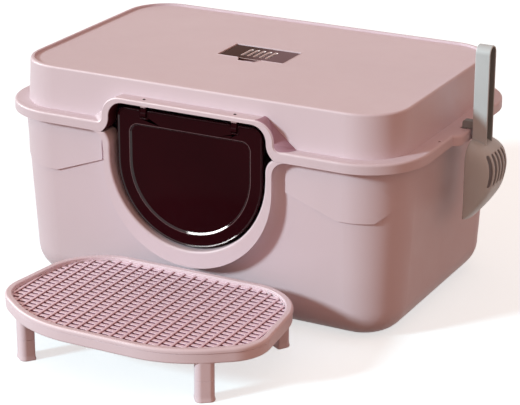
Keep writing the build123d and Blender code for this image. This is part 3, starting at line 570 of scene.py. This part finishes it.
def barEnds(loop, across):
    # where the rim's inner loop cuts each bar: depth read off the loop at the bar's distance from the middle
    right = loop[loop[:, 0] >= 0]
    right = right[np.argsort(-right[:, 1])]
    widest = int(np.argmax(right[:, 0]))
    back = np.interp(np.abs(across), right[: widest + 1, 0], right[: widest + 1, 1])
    front = np.interp(np.abs(across), right[widest:, 0][::-1], right[widest:, 1][::-1])
    return back, front


def barSection(half, low, top, edge):
    # an upright section with its two upper corners cut off
    return np.array([(-half, low), (-half, top - edge), (-half + edge, top),
                     (half - edge, top), (half, top - edge), (half, low)])


def makeStepTop(shape):
    # a rim carried round the plan, straight bars front to back, and lower ribs from side to side
    loop, normals = stepLoop(shape)
    rim = slab(loop, normals, stepProfile(shape), "xy", closeRows=True)
    inset = shape["rimWidth"] + shape["border"] - shape["overlap"]
    inner = (loop - normals * inset) - (shape["x"], shape["back"])
    shells = [rim]
    count = int(shape["sideHalf"] / shape["barPitch"])
    across = (np.arange(-count, count) + 0.5) * shape["barPitch"]
    back, front = barEnds(inner, across)
    top, mid, low = shape["grilleTop"], shape["grilleMid"], shape["grilleLow"]
    bar = barSection(shape["barWidth"] / 2, mid - shape["barSunk"], top, shape["barEdge"])
    for x, y0, y1 in zip(across, back, front):
        ends = [placed(bar + (shape["x"] + x, 0.0), shape["back"] + y, "xz") for y in (y0, y1)]
        shells.append(loft(ends))
    rows = int(shape["deep"] / shape["ribPitch"])
    depth = -(shape["deep"] / 2 + (np.arange(rows + 1) - rows / 2) * shape["ribPitch"])
    right = inner[inner[:, 0] >= 0]
    right = right[np.argsort(right[:, 1])]
    reach = np.interp(depth, right[:, 1], right[:, 0])
    inside = (depth > right[0, 1]) & (depth < right[-1, 1])
    rib = barSection(shape["ribWidth"] / 2, low, mid, shape["ribEdge"])
    for y, x in zip(depth[inside], reach[inside]):
        ends = [placed(rib + (shape["back"] + y, 0.0), shape["x"] + way * x, "yz") for way in (-1, 1)]
        shells.append(loft(ends))
    # every bar and rib has eight faces: the first, fifth and sixth look into the gaps and get a dark painted
    # shade, and the three on top get a paler painted light
    starts = len(rim[1]) + 8 * np.arange(len(shells) - 1)[:, None]
    trims = ((stepGapShade, (starts + (0, 4, 5)).ravel()), (stepBarTopLight, (starts + (1, 2, 3)).ravel()))
    makePiece("stepGrille", shells, stepPlastic, "step_top", ("step_top",), trims=trims)


def legLoop(shape, place):
    # a rectangle with rounder outer corners, turned to face outwards
    x, back, turn = place
    wide, deep = shape["legWide"] / 2, shape["legDeep"] / 2
    big, small = shape["legOuter"], shape["legInner"]
    corners = [(wide, deep), (-wide, deep), (-wide, -deep), (wide, -deep)]
    points, normals = roundedLoop(corners, (big, big, small, small), 9)
    a = math.radians(turn - 90)
    turned = np.array([(math.cos(a), math.sin(a)), (-math.sin(a), math.cos(a))])
    return points @ turned + (shape["x"] + x, shape["back"] - back), normals @ turned


def makeStepFrame(shape):
    # a skirt ring that rolls under at its foot, and a socket for each leg
    loop, normals = stepLoop(shape)
    out, wall, low, top, edge = (shape["skirt" + k] for k in ("Inset", "Wall", "Low", "Top", "Edge"))
    a = np.linspace(0, np.pi / 2, 7)
    roll = np.stack([out + wall * (1 - np.cos(a)), low + wall - wall * np.sin(a)], 1)
    profile = [(out + edge, top), (out, top - edge)] + roll.tolist() + [(out + wall, top)]
    shells = [slab(loop, normals, profile, "xy", closeRows=True)]
    socket = [(inset, shape["legSeam"] + rise) for inset, rise in shape["socketFoot"]]
    socket.append((0.0, shape["socketTop"]))
    for place in shape["legs"].values():
        shells.append(slab(*legLoop(shape, place), socket, "xy"))
    makePiece("stepSkirt", shells, stepPlastic, "step", ("step_frame",))


def makeLegs(shape):
    # each leg is its plan carried up from a slightly flared foot to the seam under its socket
    steps = shape["legFoot"] + [(inset, shape["legSeam"] - fall) for inset, fall in shape["legHead"]]
    for name, place in shape["legs"].items():
        leg = slab(*legLoop(shape, place), steps, "xy")
        words = name.title().replace("_", "")
        makePiece("stepLeg" + words, [leg], stepPlastic, "step", ("step_leg_" + name,))


makeStepTop(stepShape)
makeStepFrame(stepShape)
makeLegs(stepShape)
print("step ready")


scoopShape = {
    "back": 293.013, "front": 311.613, "handleHalf": 10.5, "handleTop": 338.0, "handleLow": 216.0,
    "handleRound": 1.3, "channelWall": 2.2, "channelRound": (1.2, 0.35),
    "bowlHalf": 34.0, "bowlTop": 222.0, "bowlLow": 121.0,
    "bow": 6.0, "shoulder": 22.0, "wall": 2.2, "fullness": 4.2,
    "topRows": (213.0, 216.2, 218.8, 220.8, 221.7, 222.0),
    "depths": ((121.0, 2.4), (134.0, 13.2), (147.4, 22.3), (161.0, 29.4), (175.5, 33.9), (190.0, 35.3),
               (203.0, 32.4), (213.0, 24.5), (219.5, 12.5), (222.0, 0.0)),
    "slotLow": 169.0, "slotHigh": 209.5, "slotPitch": 10.0, "slotWidth": 5.4, "slots": 6, "ridge": 1.3,
    "hookX": 279.9, "hookHalf": 5.0, "hookRounds": (0.4, 0.4, 3.2, 1.2, 1.2, 1.4), "hookEdge": (0.9, 0.25),
    "armRoot": 294.6, "armLow": 232.8, "armHigh": 242.3, "prong": 4.5, "prongLow": 222.3,
}


def smoothThrough(points, count):
    # Catmull-Rom curve through the points, evenly spaced in its own parameter
    points = np.asarray(points, float)
    ends = np.concatenate([[2 * points[0] - points[1]], points, [2 * points[-1] - points[-2]]])
    at = np.linspace(0, len(points) - 1, count)
    span = np.minimum(at.astype(int), len(points) - 2)
    t = (at - span)[:, None]
    a, b, c, d = (ends[span + k] for k in range(4))
    return 0.5 * (2 * b + (c - a) * t + (2 * a - 5 * b + 4 * c - d) * t ** 2 + (3 * b - a - 3 * c + d) * t ** 3)


def bowlGrid(shape):
    # each row is half a superellipse, its width across Y and its depth out along X; rows rise from lip to top
    slots, half = shape["slots"], shape["bowlHalf"]
    middles = (np.arange(slots) - (slots - 1) / 2) * shape["slotPitch"]
    edges = (middles[:, None] + np.array([-0.5, 0.5]) * shape["slotWidth"]).ravel() / half
    power = shape["fullness"] / 2
    phi = np.arcsin(np.abs(edges) ** power) * np.sign(edges)
    outer = np.linspace(phi[-1], np.pi / 2, 7)[1:]
    phi = np.concatenate([-outer[::-1], phi, outer])
    curve = smoothThrough(shape["depths"], 240)
    rise = np.concatenate([np.linspace(shape["bowlLow"], shape["slotLow"], 12),
                           np.linspace(shape["slotLow"], shape["slotHigh"], 9)[1:], shape["topRows"]])
    depth = np.interp(rise, curve[:, 0], curve[:, 1])
    over = np.clip(rise - (shape["bowlTop"] - shape["shoulder"]), 0, None)
    wide = half - shape["shoulder"] + np.sqrt(shape["shoulder"] ** 2 - over ** 2)
    share = np.clip((shape["slotLow"] - rise) / (shape["slotLow"] - shape["bowlLow"]), 0, 1)[:, None]
    power = power * (1 + shape["ridge"] * share)  # squarer towards the lip, which draws a ridge down each side
    across = np.sign(phi) * np.abs(np.sin(phi)) ** (1 / power)
    out = np.abs(np.cos(phi)) ** (1 / power)
    out[:, [0, -1]] = 0.0
    x = shape["back"] + depth[:, None] * out
    y = wide[:, None] * across
    z = rise[:, None] + shape["bow"] * across ** 2 * share
    grid = np.stack([x, y, z], -1)
    low, high = np.searchsorted(rise, (shape["slotLow"] - 0.01, shape["slotHigh"] - 0.01))
    return grid, low, high, len(outer)


def makeBowl(shape):
    # the grid without the quads of its slots, given a wall and smoothed
    grid, low, high, first = bowlGrid(shape)
    rows, columns = grid.shape[:2]
    faces = gridFaces(rows, columns)[:, ::-1]
    row, column = np.divmod(np.arange((rows - 1) * (columns - 1)), columns - 1)
    slotted = (row >= low) & (row < high) & (column >= first) & (column < first + 2 * shape["slots"])
    slotted &= (column - first) % 2 == 0
    sheet = (grid.reshape(-1, 3), faces[~slotted].tolist())
    bowl = makePiece("scoopBowl", [sheet], scoopPlastic, "scoop", sharp=180.0, solid=False)
    wall = bowl.modifiers.new("wall", "SOLIDIFY")
    wall.thickness, wall.offset, wall.use_even_offset = shape["wall"] * 0.001, -1.0, True
    soft = bowl.modifiers.new("soft", "SUBSURF")
    soft.levels = soft.render_levels = 2


def makeHandle(shape):
    # a channel section carried up one side, over the round top and down the other; the hook is a flat outline
    half, top, low, edge = (shape["handle" + k] for k in ("Half", "Top", "Low", "Round"))
    back, front, wall = shape["back"], shape["front"], shape["channelWall"]
    angle = np.linspace(0, np.pi, 33)
    side = np.linspace(low, top - half, 6)[:-1]
    flank = np.full(len(side), half)
    over = np.stack([np.cos(angle), np.sin(angle)], 1)
    path = np.concatenate([np.stack([flank, side], 1), over * half + (0.0, top - half),
                           np.stack([-flank, side[::-1]], 1)])
    normals = np.concatenate([np.tile((1.0, 0.0), (len(side), 1)), over, np.tile((-1.0, 0.0), (len(side), 1))])
    a = np.linspace(0, np.pi / 2, 5)
    rim = wall / 2
    profile = [(half, back)] + [(edge * (1 - np.sin(t)), back + edge * (1 - np.cos(t))) for t in a]
    profile += [(rim * (1 - np.cos(t)), front - rim + rim * np.sin(t)) for t in np.linspace(0, np.pi, 9)]
    wide, nook = shape["channelRound"]
    floor = back + wall
    profile += [(wall, floor + wide), (wall + nook, floor + nook), (wall + wide, floor), (half, floor)]
    grid = np.stack([placed(path - normals * inset, level, "yz") for inset, level in profile])
    rows, columns = grid.shape[:2]
    faces = gridFaces(rows, columns).tolist()
    inside = np.arange((rows - 6) * (columns - 1), (rows - 1) * (columns - 1))  # the channel's last five bands
    last = columns - 1
    faces.append([r * columns for r in range(rows)] + [r * columns + last for r in range(rows - 2, 0, -1)])
    root, armLow, armHigh, tip = shape["armRoot"], shape["armLow"], shape["armHigh"], shape["prongLow"]
    near, far = shape["hookX"] + shape["prong"] / 2, shape["hookX"] - shape["prong"] / 2
    arm = [(root, armLow), (root, armHigh), (far, armHigh), (far, tip), (near, tip), (near, armLow)]
    hook, hookNormals = roundedLoop(arm, shape["hookRounds"], 7)
    width, (deep, slight) = shape["hookHalf"], shape["hookEdge"]
    steps = [(deep, -width), (slight, -width + slight), (0.0, -width + deep),
             (0.0, width - deep), (slight, width - slight), (deep, width)]
    hookShell = slab(hook, hookNormals, steps, "xz")
    # the channel's inside and the hook take a darker colour: painted shade, with a rougher matte finish
    paintedShadeFaces = np.concatenate([inside, len(faces) + np.arange(len(hookShell[1]))])
    shells = [(grid.reshape(-1, 3), faces), hookShell]
    makePiece("scoopHandle", shells, scoopPlastic, "scoop", ("scoop",), sharp=40.0,
              trims=((scoopInnerShade, paintedShadeFaces),))


makeBowl(scoopShape)
makeHandle(scoopShape)
print("scoop ready")


cheekShape = {
    "roof": 266.3, "level": 232.2, "edge": 187.2,
    "wallFoot": 171.4, "wallLean": 0.0559, "wallFrom": 232.5, "wallGap": 0.4,
    "backHalf": 98.0, "backSlope": 50.0, "backShoulder": 6.0,
    "frontHalf": 117.1, "frontShoulder": 25.0, "turn": 7.0,
    "blend": 0.14, "fullness": 1.8, "lift": 0.7, "sunk": 2.4,
}


def hoodSide(shape, half, slope, shoulder):
    # one side of the hood's section: an arc from the roof, a straight flank and an arc out to the ledge
    tilt, turn = math.radians(slope), shape["turn"]
    over = math.tan((math.pi / 2 - tilt) / 2)
    a = np.linspace(0, math.pi / 2 - tilt, 9)
    inward, drop = shoulder * over - shoulder * np.sin(a), shoulder * (1 - np.cos(a))
    high = np.stack([half - inward, shape["roof"] - drop], 1)
    foot = half + (shape["roof"] - shape["level"]) * math.tan(tilt)
    end = np.array([foot + turn * over, shape["level"]])
    low = end + np.stack([-turn * np.sin(a), turn * (1 - np.cos(a))], 1)
    t = np.linspace(0, 1, 11)[1:-1, None]
    return np.concatenate([high, high[-1] + (low[-1] - high[-1]) * t, low[::-1]])


def makeCheek(shape):
    # the flank between the wall's section and the front edge's: it leaves the wall square and bows forwards;
    # its darker rose finish is painted shade
    front = hoodSide(shape, shape["frontHalf"], 0.0, shape["frontShoulder"])
    back = hoodSide(shape, shape["backHalf"], shape["backSlope"], shape["backShoulder"])
    wall = back + shape["blend"] * (front - back)
    swell = np.clip(wall[:, 0] - front[:, 0], 0, None)
    rows = []
    for t in np.sin(np.linspace(0, math.pi / 2, 15)):
        bow = (1 - t ** shape["fullness"]) ** (1 / shape["fullness"]) - (1 - t)
        x = front[:, 0] + (wall[:, 0] - front[:, 0]) * (1 - t) + swell * bow
        z = front[:, 1] + (wall[:, 1] - front[:, 1]) * (1 - t)
        atWall = -(shape["wallFoot"] - (z - shape["wallFrom"]) * shape["wallLean"]) + shape["wallGap"]
        y = atWall + (-shape["edge"] - atWall) * t
        outer = np.stack([x + shape["lift"], y, z + shape["lift"]], 1)
        inner = outer[::-1] - (shape["sunk"], 0.0, shape["sunk"])
        rows.append(np.concatenate([outer, inner]))
    makePiece("hoodCheek", [loft(rows)], cheekShadePlastic, "lid", sharp=40.0)


makeCheek(cheekShape)
print("hood cheek ready")


shadeLinerShape = {
    "half": 107.5, "roof": 260.7, "corner": 20.0, "foot": 24.0, "turn": 240.0, "sweep": 58.0, "reach": 82.0,
    "front": -187.0, "back": -168.0, "under": 0.15, "proud": 0.4,
}


def makeShadeLiner(shape):
    # a thin dark sheet on each side of the hood's opening, painted shade inside the opening: its foot arc, its
    # straight side and its corner arc
    half, foot, corner = shape["half"], shape["foot"], shape["corner"]
    a = np.radians(np.linspace(-shape["sweep"], 0, 10))
    b = np.radians(np.linspace(180, 90, 12))
    low, high = (np.stack([np.cos(sweep), np.sin(sweep)], 1) for sweep in (a, b))
    path = np.concatenate([low * foot + (-half - foot, shape["turn"]),
                           high * corner + (-half + corner, shape["roof"] - corner),
                           [(-shape["reach"], shape["roof"])]])
    inward = np.concatenate([low, -high, [(0.0, -1.0)]])
    loop = np.concatenate([path - inward * shape["under"], (path + inward * shape["proud"])[::-1]])
    levels = (shape["front"], shape["back"])
    shells = [loft([placed(loop * (way, 1), level, "xz") for level in levels]) for way in (1, -1)]
    makePiece("hoodShadeLiner", shells, linerShadePlastic, "lid")


makeShadeLiner(shadeLinerShape)
print("hood liner ready")


pegShape = {"x": 61.7, "y": -178.813, "low": 264.4, "top": 266.95, "radius": 1.85, "edge": 0.6}


def makePegHeads(shape):
    # two short upright rods, their heads just proud of the hood's roof
    y, low, top, radius, edge = (shape[k] for k in ("y", "low", "top", "radius", "edge"))
    shells = [rod((x, y, low), (x, y, top), radius, 24, edge) for x in (-shape["x"], shape["x"])]
    makePiece("hingePegHeads", shells, hingePlastic, "lid")


makePegHeads(pegShape)
print("peg heads ready")


coverShape = {
    "x": (-49.5, 41.5), "y": (-16.5, 35.5), "low": 279.92, "top": 282.3, "corner": 1.2,
    "edge": 0.7, "edgeShare": 0.3, "underEdge": 0.3,
    "middle": (-4.0, 9.5), "slots": 5, "slotPitch": 8.6, "slotWidth": 3.6, "slotLength": 29.0,
    "pinY": 34.3, "pinZ": 281.1, "pinRadius": 0.9, "pinReach": 1.1, "pinRoot": 1.5,
}


def makeCover(shape):
    # a flat plate with round-ended slots: every edge is carried down through (inset, level) pairs
    (left, right), (front, rear), low, top, edge = (shape[k] for k in ("x", "y", "low", "top", "edge"))
    corners = [(right, rear), (left, rear), (left, front), (right, front)]
    outline, away = roundedLoop(corners, [shape["corner"]] * 4, 6)
    part, under = edge * shape["edgeShare"], shape["underEdge"]
    fall = [(edge, top), (part, top - part), (0.0, top - edge), (0.0, low + under), (under, low)]
    shells, rims, bottoms = [slab(outline, away, fall, "xy", caps=False)], [], []
    wide, long = shape["slotWidth"] / 2, shape["slotLength"] / 2
    slots, (middle, y) = shape["slots"], shape["middle"]
    for place in range(slots):
        x = middle + (place - (slots - 1) / 2) * shape["slotPitch"]
        corners = [(x + wide, y + long), (x - wide, y + long), (x - wide, y - long), (x + wide, y - long)]
        slot, inward = roundedLoop(corners, [wide - 0.01] * 4, 7)  # a hair under half, so no two points meet
        shells.append(slab(slot, -inward, fall, "xy", caps=False))
        rims.append(placed(slot + inward * edge, top, "xy"))
        bottoms.append(placed(slot + inward * under, low, "xy"))
    # painted highlight: the plate's first band and every face of the slots are pale
    count, plate = sum(len(faces) for _, faces in shells), len(shells[0][1])
    paintedHighlightFaces = np.concatenate([np.arange(len(outline)), np.arange(plate, count)])
    shells.append(filledBetween([placed(outline - away * edge, top, "xy")] + rims, (0, 0, 1)))
    shells.append(filledBetween([placed(outline - away * under, low, "xy")] + bottoms, (0, 0, -1)))
    pinY, pinZ, root, reach = (shape["pin" + k] for k in ("Y", "Z", "Root", "Reach"))
    for start, end in ((left - reach, left + root), (right - root, right + reach)):
        shells.append(rod((start, pinY, pinZ), (end, pinY, pinZ), shape["pinRadius"], 16, 0.2))
    makePiece("coverPlate", shells, coverPlastic, "deodoriser_cover", ("deodoriser_cover",),
              trims=((cutEdgeHighlight, paintedHighlightFaces),))


makeCover(coverShape)
print("cover ready")


beadShape = {
    "x": (-50.0, 42.0), "y": (-17.0, 36.0), "round": 1.5,
    "middle": -4.0, "notchWide": 16.0, "notchNarrow": 10.5, "notchFront": -29.5, "notchRound": 1.0,
    "level": 283.05, "half": 0.55, "rise": 0.4,
}


def makeWindowBead(shape):
    # a half-round bead carried round the window and its finger notch
    (left, right), (front, rear), middle = shape["x"], shape["y"], shape["middle"]
    wide, narrow, deep = shape["notchWide"], shape["notchNarrow"], shape["notchFront"]
    corners = [(right, rear), (left, rear), (left, front), (middle - wide, front), (middle - narrow, deep),
               (middle + narrow, deep), (middle + wide, front), (right, front)]
    radii = [shape["round"]] * 3 + [shape["notchRound"]] * 4 + [shape["round"]]
    loop, away = roundedLoop(corners, radii, 6)
    half, level, rise = shape["half"], shape["level"], shape["rise"]
    profile = [(-half - half * math.cos(t), level + rise * math.sin(t)) for t in np.linspace(0, np.pi, 9)]
    bead = slab(loop, away, profile, "xy", closeRows=True)
    makePiece("windowBead", [bead], pinkPlastic, "lid", sharp=60.0)


makeWindowBead(beadShape)
print("window bead ready")


padShape = {
    "node": "charcoal_pack", "fill": 0.7, "clear": 0.0001,  # lengths here are in metres
    "shrink": (0.955, 0.925, 0.72), "voxel": 0.0021, "pressure": 4.0, "frames": 20, "cap": 0.0016,
    "crown": 0.35, "pull": 0.035, "quilt": (-0.0185, 0.0105), "quiltDepth": 0.0013, "quiltWidth": 0.0022,
    "ripple": (900, 1100), "ripplePhase": 0.7, "rippleDepth": 0.00015, "rippleReach": 1.2,
}


def blownUp(name, mesh, shape):
    # voxel remesh, then cloth with inner pressure and no gravity: how far each point would move
    body = bpy.data.objects.new(name, mesh)
    bpy.context.scene.collection.objects.link(body)
    remesh = body.modifiers.new("even", "REMESH")
    remesh.mode, remesh.voxel_size = "VOXEL", shape["voxel"]
    graph = bpy.context.evaluated_depsgraph_get()
    even = bpy.data.meshes.new_from_object(body.evaluated_get(graph))
    body.modifiers.clear()
    body.data = even
    start = np.empty(3 * len(even.vertices), np.float32)
    even.vertices.foreach_get("co", start)
    cloth = body.modifiers.new("filling", "CLOTH")
    cloth.settings.use_pressure = True
    cloth.settings.uniform_pressure_force = shape["pressure"]
    cloth.settings.effector_weights.gravity = 0.0
    cloth.point_cache.frame_start, cloth.point_cache.frame_end = 1, shape["frames"]
    for step in range(1, shape["frames"] + 1):
        bpy.context.scene.frame_set(step)
    graph = bpy.context.evaluated_depsgraph_get()
    grown = bpy.data.meshes.new_from_object(body.evaluated_get(graph))
    end = np.empty_like(start)
    grown.vertices.foreach_get("co", end)
    bpy.context.scene.frame_set(1)
    bpy.data.objects.remove(body)
    return even, start.reshape(-1, 3).astype(float), end.reshape(-1, 3).astype(float)


def makePad(shape):
    # the pillow swells from a smaller copy of its solid, capped, then two sewn channels are drawn in across it
    low, high = (np.array(corner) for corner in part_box(shape["node"]))
    middle, half = (low + high) / 2, (high - low) / 2
    merged = bmesh.new()
    merged.from_mesh(cadNodes[shape["node"]].data)
    bmesh.ops.remove_doubles(merged, verts=merged.verts, dist=1e-6)
    mesh = bpy.data.meshes.new("padStart")
    merged.to_mesh(mesh)
    merged.free()
    points = np.empty(3 * len(mesh.vertices), np.float32)
    mesh.vertices.foreach_get("co", points)
    small = (points.reshape(-1, 3) - middle) * shape["shrink"] + middle
    mesh.vertices.foreach_set("co", small.astype(np.float32).ravel())
    even, start, end = blownUp("charcoalPillow", mesh, shape)
    move = end - start
    size = np.linalg.norm(move, axis=1, keepdims=True)
    size[~np.isfinite(size)] = 0.0
    points = start + np.nan_to_num(move) * np.minimum(1.0, shape["cap"] / np.maximum(size, 1e-9))
    flat = (points - middle) / half
    # crowned towards the middle, sides pulled in between the corners
    out = np.clip(np.abs(flat), 0, 1)
    crown = 1 - shape["crown"] * (out[:, :1] ** 3 + out[:, 1:2] ** 3)
    pull = 1 - shape["pull"] * (1 - flat[:, [1, 0]] ** 2)
    points[:, 2:] = middle[2] + (points[:, 2:] - middle[2]) * crown
    points[:, :2] = middle[:2] + (points[:, :2] - middle[:2]) * pull
    for place in shape["quilt"]:
        groove = np.exp(-((points[:, 0] - place) / shape["quiltWidth"]) ** 2) * shape["quiltDepth"]
        points[:, 2] -= np.sign(flat[:, 2]) * groove * out[:, 2]
    along, across = shape["ripple"]
    ripple = np.sin(points[:, 0] * along) * np.sin(points[:, 1] * across + shape["ripplePhase"])
    points[:, 2] += ripple * shape["rippleDepth"] * np.clip(shape["rippleReach"] - np.abs(flat[:, 2]), 0, 1)
    points = np.clip(points, low + shape["clear"], high - shape["clear"])
    even.vertices.foreach_set("co", points.astype(np.float32).ravel())
    even.polygons.foreach_set("use_smooth", np.ones(len(even.polygons), bool))
    even.materials.clear()
    even.materials.append(charcoalCloth)
    pad = bpy.data.objects.new("charcoalPillow", even)
    bpy.context.scene.collection.objects.link(pad)
    soft = pad.modifiers.new("soft", "SUBSURF")
    soft.levels = soft.render_levels = 1
    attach(pad, "lid")
    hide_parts(shape["node"])


makePad(padShape)
print("pillow ready")
